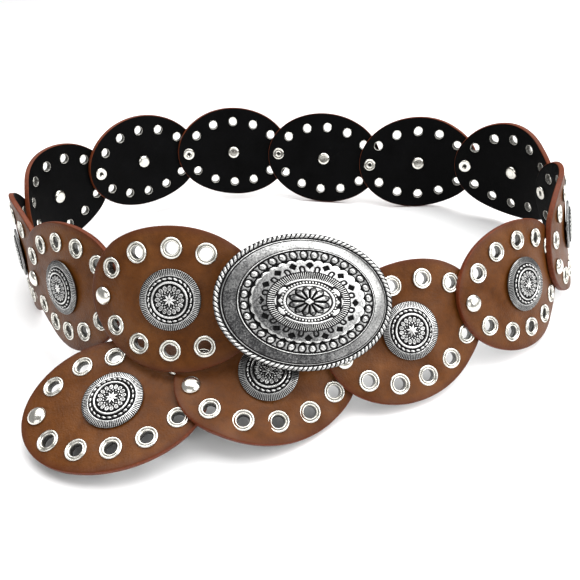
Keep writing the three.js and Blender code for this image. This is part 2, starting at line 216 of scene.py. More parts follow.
def add(tree, kind, settings=None, **sockets):
    """Adds a node with its settings. A socket is named with _ for a space, or by its number as in0, and
    takes a value or a link."""
    node = tree.nodes.new(kind)
    for key, value in (settings or {}).items():
        setattr(node, key, value)
    for key, value in sockets.items():
        numbered = key.startswith("in") and key[2:].isdigit()
        give(tree, node.inputs[int(key[2:]) if numbered else key.replace("_", " ")], value)
    return node


def material(name):
    made = bpy.data.materials.new(name)
    made.use_nodes = True
    tree = made.node_tree
    tree.nodes.clear()
    shader = add(tree, "ShaderNodeBsdfPrincipled")
    add(tree, "ShaderNodeOutputMaterial", Surface=shader.outputs[0])
    place = add(tree, "ShaderNodeTexCoord").outputs["Object"]
    return made, tree, shader, place


def noise(tree, place, size_mm, detail=4.0, rough=0.55, distortion=0.0):
    """Noise whose features are about size_mm across."""
    return add(tree, "ShaderNodeTexNoise", Vector=place, Scale=1 / (size_mm * MM), Detail=detail,
               Roughness=rough, Distortion=distortion).outputs["Fac"]


def ramp(tree, factor, *stops):
    """Colour ramp from pairs of position and colour."""
    node = add(tree, "ShaderNodeValToRGB", Fac=factor)
    elements = node.color_ramp.elements
    while len(elements) < len(stops):
        elements.new(0.5)
    for element, (position, value) in zip(elements, stops):
        element.position = position
        element.color = value
    return node.outputs["Color"]


def blend(tree, factor, a, b):
    """Colour a turned into colour b by a factor."""
    return add(tree, "ShaderNodeMix", {"data_type": "RGBA"}, in0=factor, in6=a, in7=b).outputs[2]


def stretch(tree, value, low, high, to_low, to_high):
    """A value between low and high brought to between to_low and to_high."""
    return add(tree, "ShaderNodeMapRange", Value=value, From_Min=low, From_Max=high,
               To_Min=to_low, To_Max=to_high).outputs["Result"]


def bump(tree, height, distance_mm, strength=1.0, under=None):
    node = add(tree, "ShaderNodeBump", Height=height, Distance=distance_mm * MM, Strength=strength)
    if under:
        tree.links.new(under, node.inputs["Normal"])
    return node.outputs["Normal"]


def attribute(tree, name):
    return add(tree, "ShaderNodeAttribute", {"attribute_name": name}).outputs["Fac"]


def plug(tree, shader, **sockets):
    for key, value in sockets.items():
        give(tree, shader.inputs[key.replace("_", " ")], value)


def waxed_leather():
    """Smooth vegetable-tanned leather, dyed and waxed: warm mottled brown, satin, with a fine grain."""
    made, tree, shader, place = material("waxed_bridle_leather")
    clouds = noise(tree, place, 26, 3, 0.5, 0.6)
    base = ramp(tree, clouds, (0.30, colour("#48260A")), (0.5, colour("#5A310C")),
                (0.72, colour("#6E3F0E")))
    streaks = noise(tree, place, 5, 6, 0.65, 0.3)
    base = blend(tree, 0.35, base, ramp(tree, streaks, (0.35, colour("#402209")),
                                        (0.65, colour("#683B12"))))
    rim = attribute(tree, "edge_distance")
    worn = stretch(tree, rim, 0.0, 3.5, 0.75, 0.0)
    base = blend(tree, worn, base, colour("#4C2413"))
    pores = noise(tree, place, 0.5, 2, 0.6)
    grain = add(tree, "ShaderNodeTexVoronoi", Vector=place, Scale=1 / (1.1 * MM)).outputs["Distance"]
    creases = noise(tree, place, 1.8, 5, 0.6, 1.6)
    normal = bump(tree, grain, 0.12, 0.6)
    normal = bump(tree, creases, 0.3, 0.6, normal)
    normal = bump(tree, pores, 0.05, 0.5, normal)
    normal = bump(tree, noise(tree, place, 9, 2), 0.35, 0.5, normal)
    plug(tree, shader, Base_Color=base, Normal=normal,
         Roughness=stretch(tree, streaks, 0.3, 0.7, 0.38, 0.5),
         Specular_IOR_Level=stretch(tree, clouds, 0.35, 0.7, 0.1, 0.26))
    return made


def dyed_edge():
    """Cut leather edge, dyed and slicked with a bone: red-brown, with fibres along the edge."""
    made, tree, shader, place = material("slicked_leather_edge")
    fibres = noise(tree, place, 1.2, 5, 0.7, 0.5)
    base = ramp(tree, fibres, (0.3, colour("#441A0A")), (0.52, colour("#662C13")),
                (0.75, colour("#7E4120")))
    base = blend(tree, 0.4, base, ramp(tree, noise(tree, place, 14, 2), (0.3, colour("#481F0D")),
                                       (0.7, colour("#733718"))))
    plug(tree, shader, Base_Color=base, Roughness=0.5, Specular_IOR_Level=0.2,
         Normal=bump(tree, fibres, 0.12, 0.5))
    return made


def black_lining():
    """Black dyed lining side: deep black and matt, with a fine grain and faint dust."""
    made, tree, shader, place = material("black_dyed_leather_lining")
    clouds = noise(tree, place, 18, 4, 0.6)
    base = ramp(tree, clouds, (0.3, colour("#040404")), (0.7, colour("#0A0A0B")))
    base = blend(tree, stretch(tree, noise(tree, place, 3, 5), 0.6, 0.8, 0, 0.3), base,
                 colour("#161617"))
    grain = noise(tree, place, 0.7, 3, 0.6)
    normal = bump(tree, noise(tree, place, 6, 2), 0.25, 0.4, bump(tree, grain, 0.05, 0.4))
    plug(tree, shader, Base_Color=base, Roughness=stretch(tree, clouds, 0.3, 0.7, 0.5, 0.65),
         Normal=normal, Specular_IOR_Level=0.04)
    return made


def antique_silver():
    """Silver-plated casting, blackened and rubbed back: bright on the raised edges, grey and mottled
    on the flats, black in the hollows, and darker where painted shade is added to the patina."""
    made, tree, shader, place = material("antiqued_silver_plated_casting")
    speck = noise(tree, place, 0.8, 5, 0.7)
    smears = noise(tree, place, 5, 4, 0.6)
    black = add(tree, "ShaderNodeMath", {"operation": "ADD"}, in0=attribute(tree, "patina_and_painted_shade"),
                in1=stretch(tree, speck, 0.3, 0.7, -0.13, 0.13)).outputs[0]
    black = add(tree, "ShaderNodeMath", {"operation": "ADD"}, in0=black,
                in1=stretch(tree, smears, 0.35, 0.7, -0.03, 0.07)).outputs[0]
    base = ramp(tree, black, (0.03, colour("#D8D8D6")), (0.19, colour("#9E9E9D")),
                (0.38, colour("#424243")), (0.55, colour("#050506")))
    normal = bump(tree, speck, 0.05, 0.5, bump(tree, smears, 0.12, 0.3))
    plug(tree, shader, Base_Color=base, Metallic=stretch(tree, black, 0.25, 0.5, 1.0, 0.2),
         Roughness=stretch(tree, black, 0.0, 0.5, 0.2, 0.65), Normal=normal,
         Specular_IOR_Level=0.2)
    return made


def nickel_plate():
    """Bright nickel over brass, barrel polished: a soft warm mirror, with grime and painted shade in
    its grooves, at its foot and in its holes.
    """
    made, tree, shader, place = material("barrel_polished_nickel")
    wear = noise(tree, place, 1.5, 5, 0.65)
    base = ramp(tree, wear, (0.3, colour("#E0DDD2")), (0.7, colour("#F8F6EE")))
    grime = attribute(tree, "grime")
    # Painted shade with some grime: near-black where the profile marks grooves, feet and holes, in
    # place of their contact shadow.
    base = blend(tree, grime, base, colour("#15130F"))
    plug(tree, shader, Base_Color=base, Metallic=stretch(tree, grime, 0, 1, 1.0, 0.4),
         Roughness=stretch(tree, wear, 0.3, 0.7, 0.16, 0.26),
         Normal=bump(tree, noise(tree, place, 0.3, 3), 0.004, 0.4))
    return made


LEATHER = waxed_leather()
EDGE = dyed_edge()
LINING = black_lining()
SILVER = antique_silver()
NICKEL = nickel_plate()


# Meshes

def mesh_object(name, points, faces, materials, zones=None, attributes=None, smooth=True):
    """An object at the origin from points in millimetres in the belt's frame."""
    mesh = bpy.data.meshes.new(name)
    mesh.from_pydata((np.asarray(points) * MM).tolist(), [], faces)
    for each in materials:
        mesh.materials.append(each)
    if zones is not None:
        mesh.polygons.foreach_set("material_index", np.asarray(zones, np.int32))
    for key, values in (attributes or {}).items():
        layer = mesh.attributes.new(key, "FLOAT", "POINT")
        layer.data.foreach_set("value", np.asarray(values, np.float32))
    mesh.polygons.foreach_set("use_smooth", np.full(len(mesh.polygons), smooth))
    mesh.update()
    made = bpy.data.objects.new(name, mesh)
    bpy.context.collection.objects.link(made)
    return made


def oval(inset, count):
    """Even points on an oval at a distance inside the plate's outline."""
    angles = even_angles(PLATE_LENGTH, PLATE_HEIGHT, count)
    return np.stack([(PLATE_LENGTH / 2 - inset) * np.cos(angles),
                     (PLATE_HEIGHT / 2 - inset) * np.sin(angles)], axis=1)


def hole_loop(x, y, radius, phase=0.0):
    angles = np.linspace(0, 2 * math.pi, HOLE_POINTS, endpoint=False) + phase
    return np.stack([x + radius * np.cos(angles), y + radius * np.sin(angles)], axis=1)


def unit_circle(count):
    """Points of a circle of radius 1 at height 0."""
    angles = np.linspace(0, 2 * math.pi, count, endpoint=False)
    return np.stack([np.cos(angles), np.sin(angles), 0 * angles], axis=1)


def row_numbers(rows, count, start=0):
    """Numbers of the points in rows of count points each, from a first number."""
    return [list(range(start + i * count, start + (i + 1) * count)) for i in range(rows)]


def strips(rows, count):
    """Quads between closed rows of count points each; rows are lists of point numbers."""
    faces = []
    for a, b in zip(rows, rows[1:]):
        for i in range(count):
            j = (i + 1) % count
            faces.append((a[i], a[j], b[j], b[i]))
    return faces


def flat_face():
    """The plate's face as a flat net of triangles with round holes, and its rim and hole points."""
    holes = [(*h, LEATHER_HOLE_RADIUS if k in EYELETS else SHANK_DIAMETER / 2 + RIVET_HOLE_PLAY)
             for k, h in enumerate(HOLES)]
    loops = [oval(EDGE_ROUNDING, RIM_POINTS)] + [hole_loop(*hole) for hole in holes]
    free = [oval(EDGE_ROUNDING + inset, count) for inset, count in RIM_LOOPS]
    free += [hole_loop(x, y, r + grow, grow) for x, y, r in holes for grow in HOLE_LOOPS]
    heights = np.arange(-PLATE_HEIGHT / 2, PLATE_HEIGHT / 2, FACE_GRID * FACE_ROW_SHARE)
    for i, y in enumerate(heights):
        xs = np.arange(-PLATE_LENGTH / 2, PLATE_LENGTH / 2, FACE_GRID) + (i % 2) * FACE_GRID / 2
        row = np.stack([xs, np.full_like(xs, y)], axis=1)
        inside = np.hypot(row[:, 0] / (PLATE_LENGTH / 2 - CLEAR_OF_RIM),
                          row[:, 1] / (PLATE_HEIGHT / 2 - CLEAR_OF_RIM)) < 1
        for hx, hy, r in holes:
            inside &= np.hypot(row[:, 0] - hx, row[:, 1] - hy) > r + CLEAR_OF_HOLE
        free.append(row[inside])
    points, edges = [], []
    for loop in loops:
        start = len(points)
        points += loop.tolist()
        edges += [(start + i, start + (i + 1) % len(loop)) for i in range(len(loop))]
    for group in free:
        points += group.tolist()
    places, _, net, came_from, _, _ = delaunay_2d_cdt([Vector(p) for p in points], edges, [], 1, 1e-6)
    flat = np.array([tuple(v) for v in places])
    triangles = []
    for face in net:
        middle = flat[list(face)].mean(axis=0)
        if all(math.hypot(middle[0] - x, middle[1] - y) > r for x, y, r in holes):
            triangles.append(tuple(face))
    source = {old: new for new, olds in enumerate(came_from) for old in olds}
    starts = np.cumsum([0] + [len(loop) for loop in loops])
    rims = [[source[i] for i in range(a, b)] for a, b in zip(starts, starts[1:])]
    return flat, triangles, rims, holes


FLAT, TRIANGLES, RIMS, HOLE_SIZES = flat_face()


def pressed(x, y, depth):
    """How far each eyelet and rivet draws the leather's surface in around it."""
    dip = np.zeros_like(x)
    for hx, hy, r in HOLE_SIZES:
        away = np.hypot(x - hx, y - hy) - r
        dip += depth * np.exp(-(np.maximum(away, 0) / DRAWN_AROUND) ** 2)
    return dip


def leather_plate(number):
    """One plate: brown outside, black inside, and a rounded red-brown edge."""
    brown, red_brown, black = range(3)
    plate, pose = PLATES[number], POSES[number]
    half = PLATE_THICKNESS / 2
    points, faces, zones, distance = [], [], [], []

    def put(x, y, out):
        """Adds points, and how far each lies from the rim on the line from the plate's middle."""
        start = len(points)
        points.extend(bent(plate, x, y, out))
        scale = np.hypot(x / (PLATE_LENGTH / 2), y / (PLATE_HEIGHT / 2))
        distance.extend(np.hypot(x, y) * (1 / np.maximum(scale, 1e-3) - 1))
        return start

    x, y = FLAT[:, 0], FLAT[:, 1]
    outer = put(x, y, half - pressed(x, y, DRAWN_OUTSIDE))
    inner = put(x, y, -half + pressed(x, y, DRAWN_INSIDE))
    for a, b, c in TRIANGLES:
        faces += [(outer + a, outer + b, outer + c), (inner + c, inner + b, inner + a)]
        zones += [brown, black]
    count = len(RIMS[0])
    rows = [[outer + i for i in RIMS[0]]]
    for inset, level in EDGE_PROFILE:
        line = oval(inset * EDGE_ROUNDING, count)
        start = put(line[:, 0], line[:, 1], np.full(count, level * half))
        rows.append(list(range(start, start + count)))
    rows.append([inner + i for i in RIMS[0]])
    faces += strips(rows[::-1], count)
    dyed = len(rows) - 1 - 2 * UNDYED_EDGE_STRIPS
    for zone, wide in ((black, UNDYED_EDGE_STRIPS), (red_brown, dyed), (brown, UNDYED_EDGE_STRIPS)):
        zones += [zone] * (wide * count)
    for rim in RIMS[1:]:
        wall = strips([[outer + i for i in rim], [inner + i for i in rim]], len(rim))
        faces += wall
        zones += [black] * len(wall)
    return mesh_object("leather_%02d" % (number + 1), moved(points, pose), faces,
                       [LEATHER, EDGE, LINING], zones, {"edge_distance": distance})


# Turned metal pieces, by Geometry Nodes

def turned_tree(name, profile):
    """A node tree that turns a profile of radius and height about the axis of every point given."""
    tree = bpy.data.node_groups.new(name, "GeometryNodeTree")
    face = tree.interface
    face.new_socket("Points", in_out="INPUT", socket_type="NodeSocketGeometry")
    for label, kind, value in (("Diameter", "NodeSocketFloat", 0.01),
                               ("Height", "NodeSocketFloat", 0.002),
                               ("Segments", "NodeSocketInt", 24),
                               ("Material", "NodeSocketMaterial", None)):
        socket = face.new_socket(label, in_out="INPUT", socket_type=kind)
        if value is not None:
            socket.default_value = value
    face.new_socket("Pieces", in_out="OUTPUT", socket_type="NodeSocketGeometry")
    given = add(tree, "NodeGroupInput").outputs
    count = len(profile)
    net = add(tree, "GeometryNodeMeshGrid", Size_X=1.0, Size_Y=1.0, Vertices_X=given["Segments"],
              Vertices_Y=count)
    where = add(tree, "ShaderNodeSeparateXYZ", in0=add(tree, "GeometryNodeInputPosition").outputs[0])

    def math_node(operation, a, b=0.0):
        return add(tree, "ShaderNodeMath", {"operation": operation}, in0=a, in1=b).outputs[0]

    share = math_node("ADD", where.outputs["Y"], 0.5)
    angle = math_node("MULTIPLY", math_node("ADD", where.outputs["X"], 0.5), 2 * math.pi)

    def along_profile(values):
        node = add(tree, "ShaderNodeFloatCurve", Value=share)
        mapping = node.mapping
        mapping.use_clip = False
        line = mapping.curves[0].points
        while len(line) < count:
            line.new(0.5, 0.5)
        for i, (point, value) in enumerate(zip(line, values)):
            point.location = (i / (count - 1), value)
        for point in line:
            point.handle_type = "VECTOR"
        mapping.update()
        return node.outputs[0]

    radius = math_node("MULTIPLY", along_profile([p[0] for p in profile]),
                       math_node("MULTIPLY", given["Diameter"], 0.5))
    height = math_node("MULTIPLY", along_profile([p[1] for p in profile]), given["Height"])
    spot = add(tree, "ShaderNodeCombineXYZ",
               X=math_node("MULTIPLY", radius, math_node("COSINE", angle)),
               Y=math_node("MULTIPLY", radius, math_node("SINE", angle)), Z=height)
    # Stores the profile's third column, the grime and painted shade of grooves, feet and holes.
    marked = add(tree, "GeometryNodeStoreNamedAttribute", {"data_type": "FLOAT", "domain": "POINT"},
                 Geometry=net.outputs["Mesh"], Name="grime",
                 Value=along_profile([p[2] for p in profile]))
    shaped = add(tree, "GeometryNodeSetPosition", Geometry=marked.outputs[0],
                 Position=spot.outputs[0])
    closed = add(tree, "GeometryNodeMergeByDistance", Geometry=shaped.outputs[0],
                 Distance=WELD_METRES)
    turn = add(tree, "GeometryNodeInputNamedAttribute", {"data_type": "FLOAT_VECTOR"}, Name="turn")
    rotation = add(tree, "FunctionNodeEulerToRotation", Euler=turn.outputs["Attribute"])
    copies = add(tree, "GeometryNodeInstanceOnPoints", Points=given["Points"],
                 Instance=closed.outputs[0], Rotation=rotation.outputs[0])
    real = add(tree, "GeometryNodeRealizeInstances", Geometry=copies.outputs[0])
    smooth = add(tree, "GeometryNodeSetShadeSmooth", in0=real.outputs[0])
    painted = add(tree, "GeometryNodeSetMaterial", Geometry=smooth.outputs[0],
                  Material=given["Material"])
    add(tree, "NodeGroupOutput", in0=painted.outputs[0])
    return tree


def turned_pieces(name, tree, frames, diameter, height, segments, finish):
    """Turned pieces on a list of frames, as one plain mesh."""
    mesh = bpy.data.meshes.new(name + "_points")
    mesh.from_pydata([tuple(f.translation * MM) for f in frames], [], [])
    layer = mesh.attributes.new("turn", "FLOAT_VECTOR", "POINT")
    layer.data.foreach_set("vector", np.array([f.to_euler() for f in frames]).ravel())
    holder = bpy.data.objects.new(name + "_points", mesh)
    bpy.context.collection.objects.link(holder)
    modifier = holder.modifiers.new("turned", "NODES")
    modifier.node_group = tree
    values = {"Diameter": diameter * MM, "Height": height * MM, "Segments": segments,
              "Material": finish}
    for item in tree.interface.items_tree:
        if item.in_out == "INPUT" and item.name in values:
            modifier[item.identifier] = values[item.name]
    graph = bpy.context.evaluated_depsgraph_get()
    made = bpy.data.meshes.new_from_object(holder.evaluated_get(graph))
    bpy.data.objects.remove(holder)
    made.name = name
    shown = bpy.data.objects.new(name, made)
    bpy.context.collection.objects.link(shown)
    return shown


# Profiles: radius as a share of half the diameter, height as a share of the height, and the grime and
# painted shade there, from the underside round to the top. A profile whose ends meet is a ring.
EYELET_PROFILE = [
    (0.57, -1.04, 0.8), (0.66, -1.04, 0), (0.66, -0.97, 0.3), (0.60, -0.95, 0), (0.60, -0.04, 0),
    (0.985, -0.04, 1), (1.0, 0.08, 0.4), (0.965, 0.25, 0), (0.885, 0.31, 0), (0.81, 0.2, 0.3),
    (0.765, 0.0, 1), (0.72, 0.17, 0.3), (0.655, 0.24, 0), (0.58, 0.06, 0.3), (0.57, -0.2, 0.95),
    (0.57, -1.04, 0.8),
]
CAP_PROFILE = [
    (0, -0.1, 0), (0.9, -0.1, 1), (0.985, -0.03, 1), (1.0, 0.06, 0.4), (0.985, 0.2, 0),
    (0.93, 0.4, 0), (0.82, 0.6, 0), (0.66, 0.78, 0), (0.46, 0.91, 0), (0.24, 0.98, 0), (0, 1, 0),
]
RIVET_BACK_PROFILE = [
    (0, -0.1, 0), (0.94, -0.1, 1), (1.0, 0.1, 0.3), (0.99, 0.5, 0), (0.94, 0.76, 0),
    (0.85, 0.86, 0), (0.52, 0.84, 0), (0.36, 0.72, 0), (0.3, 0.5, 0.6), (0.27, 0.1, 1),
    (0.25, -0.05, 1), (0, -0.06, 1),
]
SCREW_HEAD_PROFILE = [
    (0, -0.1, 0), (0.92, -0.1, 1), (1.0, 0.06, 0.3), (0.99, 0.35, 0), (0.93, 0.6, 0),
    (0.82, 0.8, 0), (0.7, 0.9, 0), (0.63, 0.93, 0.2), (0.56, 0.93, 0.2), (0.3, 0.96, 0),
    (0, 0.97, 0),
]
SHANK_PROFILE = [(0, -1, 0), (1, -1, 0), (1, 1, 0), (0, 1, 0)]


def fasteners():
    """The eyelets as one piece, and the rivets' caps, backs and shanks."""
    eyelets, caps, backs, shanks = [], [], [], []
    for i, (plate, pose) in enumerate(zip(PLATES, POSES)):
        for k in EYELETS:
            eyelets.append(pose @ bent_frame(plate, *HOLES[k], PLATE_THICKNESS / 2))
        tail = i == len(PLATES) - 1
        depth = PLATE_THICKNESS if tail else 2 * PLATE_THICKNESS + PLATE_GAP
        top = pose @ bent_frame(plate, -RIVET_SPACING / 2, 0, PLATE_THICKNESS / 2)
        caps.append(top @ Matrix.Translation((0, 0, PIECE_GAP)))
        backs.append(top @ Matrix.Translation((0, 0, -depth - PIECE_GAP))
                     @ Matrix.Rotation(math.pi, 4, "X"))
        shanks.append(top @ Matrix.Translation((0, 0, -depth / 2)))
    eyelet_pieces = turned_pieces("eyelets", turned_tree("eyelet", EYELET_PROFILE), eyelets,
                                  EYELET_DIAMETER, PLATE_THICKNESS, EYELET_POINTS, NICKEL)
    pieces = [
        turned_pieces("rivet_caps", turned_tree("rivet_cap", CAP_PROFILE), caps,
                      RIVET_CAP_DIAMETER, RIVET_CAP_RISE, CAP_POINTS, NICKEL),
        turned_pieces("rivet_backs", turned_tree("rivet_back", RIVET_BACK_PROFILE), backs,
                      RIVET_BACK_DIAMETER, RIVET_BACK_RISE, CAP_POINTS, NICKEL),
        turned_pieces("rivet_shanks", turned_tree("rivet_shank", SHANK_PROFILE), shanks,
                      SHANK_DIAMETER, PLATE_THICKNESS, SHANK_POINTS, NICKEL),
    ]
    return eyelet_pieces, pieces


# Cast relief

def wave(turns, count, phase=0.0):
    """From -1 to 1 and back, count times round."""
    return np.cos(2 * math.pi * (turns * count + phase))


def soft_step(value, low, high):
    t = np.clip((value - low) / (high - low), 0, 1)
    return t * t * (3 - 2 * t)


def half_round(v):
    return np.sqrt(np.clip(1 - (2 * v - 1) ** 2, 0, 1))


def relief(bands, start, segments):
    """Rows of a round or oval relief. A band is (half width, half height, rows, height function):
    it runs inward from the oval before it to its own oval, and its function of the share across the
    band and the share round the oval gives the height and the blackening."""
    points, dark = [], []
    turns = np.arange(segments) / segments
    before = start
    for half_x, half_y, rows, shape in bands:
        for row in range(rows):
            v = np.full(segments, (row + 0.5) / rows)
            a = before[0] + (half_x - before[0]) * v[0]
            b = before[1] + (half_y - before[1]) * v[0]
            angles = even_angles(max(a, 0.01), max(b, 0.01), segments)
            height, black = shape(v, turns)
            points.append(np.stack([a * np.cos(angles), b * np.sin(angles), height + 0 * v], axis=1))
            dark.append(black + 0 * v)
        before = (half_x, half_y)
    return points, dark


def cast_piece(name, front, darkness, front_pole, back, back_pole, posts, matrix):
    """A closed casting from the rows of its front and of its back, with its soldered posts."""
    count = len(front[0])
    points = np.concatenate([*front, [front_pole]])
    dark = np.concatenate([*darkness, [darkness[-1].mean()]])
    fronts = row_numbers(len(front), count)
    faces = strips(fronts, count)
    pole = len(points) - 1
    faces += [(fronts[-1][i], fronts[-1][(i + 1) % count], pole) for i in range(count)]
    backs = row_numbers(len(back), count, len(points))
    points = np.concatenate([points, *back, [back_pole]])
    dark = np.concatenate([dark, np.full(len(points) - len(dark), BACK_PATINA)])
    faces += [tuple(reversed(f)) for f in strips([fronts[0], *backs], count)]
    pole = len(points) - 1
    faces += [(backs[-1][(i + 1) % count], backs[-1][i], pole) for i in range(count)]
    points, faces = joined([(points, faces), posts])
    dark = np.concatenate([dark, np.full(len(posts[0]), POST_PATINA)])
    return mesh_object(name, moved(points, matrix), faces, [SILVER], attributes={"patina_and_painted_shade": dark})


def joined(parts):
    """Several pairs of points and faces as one."""
    points, faces, shift = [], [], 0
    for part_points, part_faces in parts:
        points.append(part_points)
        faces += [tuple(shift + i for i in face) for face in part_faces]
        shift += len(part_points)
    return np.concatenate(points), faces


def black_line(distance, width):
    """Full in the middle of a line of the given width and gone at its edges."""
    return 1 - soft_step(np.abs(distance), 0.25 * width, 0.75 * width)


def turn_from(u, count, phase=0.0):
    """Turns from the nearest of count even places round a ring."""
    return ((u * count + phase + 0.5) % 1 - 0.5) / count


def concho_rows():
    """A round concho: reeded border, rope ring, plain ring, ring of small florets, eight-point star."""
    r = CONCHO_RADIUS
    links, florets_round, star_points = 24, 16, 8
    rope_radius, floret_radius, bud_radius = 9.6, 5.6, 4.2

    def rim(v, u):
        return 0.6, 0.2

    def reeded(v, u):
        ridge = 0.5 + 0.5 * np.cos(math.pi * np.arange(len(u)))
        fade = 1 - soft_step(v, 0.75, 1.0)
        height = 0.9 + 0.4 * v + 0.26 * (ridge - 0.5) * fade
        return height, (0.85 - 0.25 * v) * (1 - ridge) * fade

    def rope(v, u):
        along = turn_from(u, links) * 2 * math.pi * rope_radius
        across = (v - 0.5) * 2.1
        m = np.hypot((along + 0.6 * across) / 1.36, across / 0.66)
        link = np.sqrt(np.clip(1 - m * m, 0, 1))
        return 1.25 + 0.95 * link, soft_step(m, 0.66, 0.92)

    def plain(v, u):
        crest = half_round(v)
        return 1.55 + 0.85 * crest, 0.95 * (1 - soft_step(crest, 0.4, 0.8)) + 0.03

    def groove(v, u):
        return 1.65, 1.0

    def florets(v, u):
        along = turn_from(u, florets_round) * 2 * math.pi * floret_radius
        petal = np.abs(np.hypot(along / 0.95, (v - 0.42) / 0.34) - 0.75)
        seed = np.hypot(along / 0.42, (v - 0.42) / 0.15)
        beside = turn_from(u, florets_round, 0.5) * 2 * math.pi * bud_radius
        bud = np.hypot(beside / 0.5, (v - 0.86) / 0.16)
        lump = np.maximum(1 - soft_step(petal, 0.18, 0.34),
                          np.maximum(1 - soft_step(seed, 0.7, 1.1), 1 - soft_step(bud, 0.7, 1.1)))
        return 1.8 + 0.55 * lump, 0.95 - 0.9 * lump

    def star(v, u):
        arm = np.abs(turn_from(u, star_points)) * 2 * star_points
        width = 0.1 + 0.95 * soft_step(v, 0.0, 0.85)
        lump = 1 - soft_step(arm, width - 0.12, width + 0.12)
        tip = 1 - soft_step(np.hypot((arm - 1) / 0.3, (v - 0.12) / 0.2), 0.7, 1.1)
        return 1.95 + lump * (0.35 + 0.3 * v) + 0.3 * tip, 0.97 - 0.97 * np.maximum(lump, 0.7 * tip)

    bands = [(r * share, r * share, rows, shape) for share, rows, shape in (
        (0.985, 1, rim), (0.76, 8, reeded), (0.61, 9, rope), (0.51, 6, plain), (0.49, 1, groove),
        (0.23, 12, florets), (0.02, 9, star),
    )]
    front, dark = relief(bands, (r, r), CONCHO_POINTS)
    circle = unit_circle(CONCHO_POINTS)
    back = [circle * r * 0.985, circle * r * 0.6]
    return front, dark, back


def post_mesh(radius, low, high, sides=20):
    circle = unit_circle(sides) * radius
    points = np.concatenate([circle + [0, 0, low], circle + [0, 0, high]])
    rows = row_numbers(2, sides)
    faces = strips(rows, sides) + [tuple(reversed(rows[0])), tuple(rows[1])]
    return points, faces


def disc_height(plate, radius, side):
    """Distance from the middle of the leather at which a flat disc on the plate's centre clears it."""
    angles = np.linspace(0, 2 * math.pi, 24, endpoint=False)
    rim = side * bent(plate, radius * np.cos(angles), radius * np.sin(angles),
                      side * PLATE_THICKNESS / 2)[:, 2]
    return max(PLATE_THICKNESS / 2, rim.max()) + CONCHO_GAP


def conchos():
    """Each concho clear of its bent plate, with its post through it and its screw head behind."""
    front, dark, back = concho_rows()
    heads = []
    for i, (plate, pose) in enumerate(zip(PLATES, POSES)):
        outer = disc_height(plate, CONCHO_RADIUS, 1)
        inner = disc_height(plate, SCREW_HEAD_DIAMETER / 2, -1)
        spin = Matrix.Rotation(rng.uniform(0, 2 * math.pi), 4, "Z")
        base = pose @ Matrix.Translation((0, 0, outer)) @ spin
        post = post_mesh(SHANK_DIAMETER / 2, -outer - inner, POST_INTO_CONCHO)
        piece = cast_piece("concho_face_%02d" % (i + 1), front, dark, (0, 0, CONCHO_TOP), back,
                           (0, 0, 0), post, base)
        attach(piece, "root")
        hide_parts("concho_%02d" % (i + 1))
        heads.append(pose @ Matrix.Translation((0, 0, -inner)) @ Matrix.Rotation(math.pi, 4, "X"))
    screws = turned_pieces("concho_screws", turned_tree("screw_head", SCREW_HEAD_PROFILE), heads,
                           SCREW_HEAD_DIAMETER, SCREW_HEAD_RISE, CAP_POINTS, NICKEL)
    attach(screws, "root")


# Rings of the buckle: half its width and half its height at each ring's inner edge
BUCKLE_RINGS = {
    "outline": (42.0, 31.0),
    "rope": (39.4, 28.7),
    "line": (38.0, 27.6),
    "band": (32.1, 23.6),
    "double_line": (30.9, 22.7),
    "beads": (27.0, 18.7),
    "scallops": (25.6, 17.4),
    "medallion": (19.6, 13.3),
    "flutes": (15.9, 10.1),
    "cartouche": (12.1, 7.7),
    "ellipse": (10.3, 6.6),
    "petals": (2.5, 1.7),
    "heart": (0.15, 0.1),
}


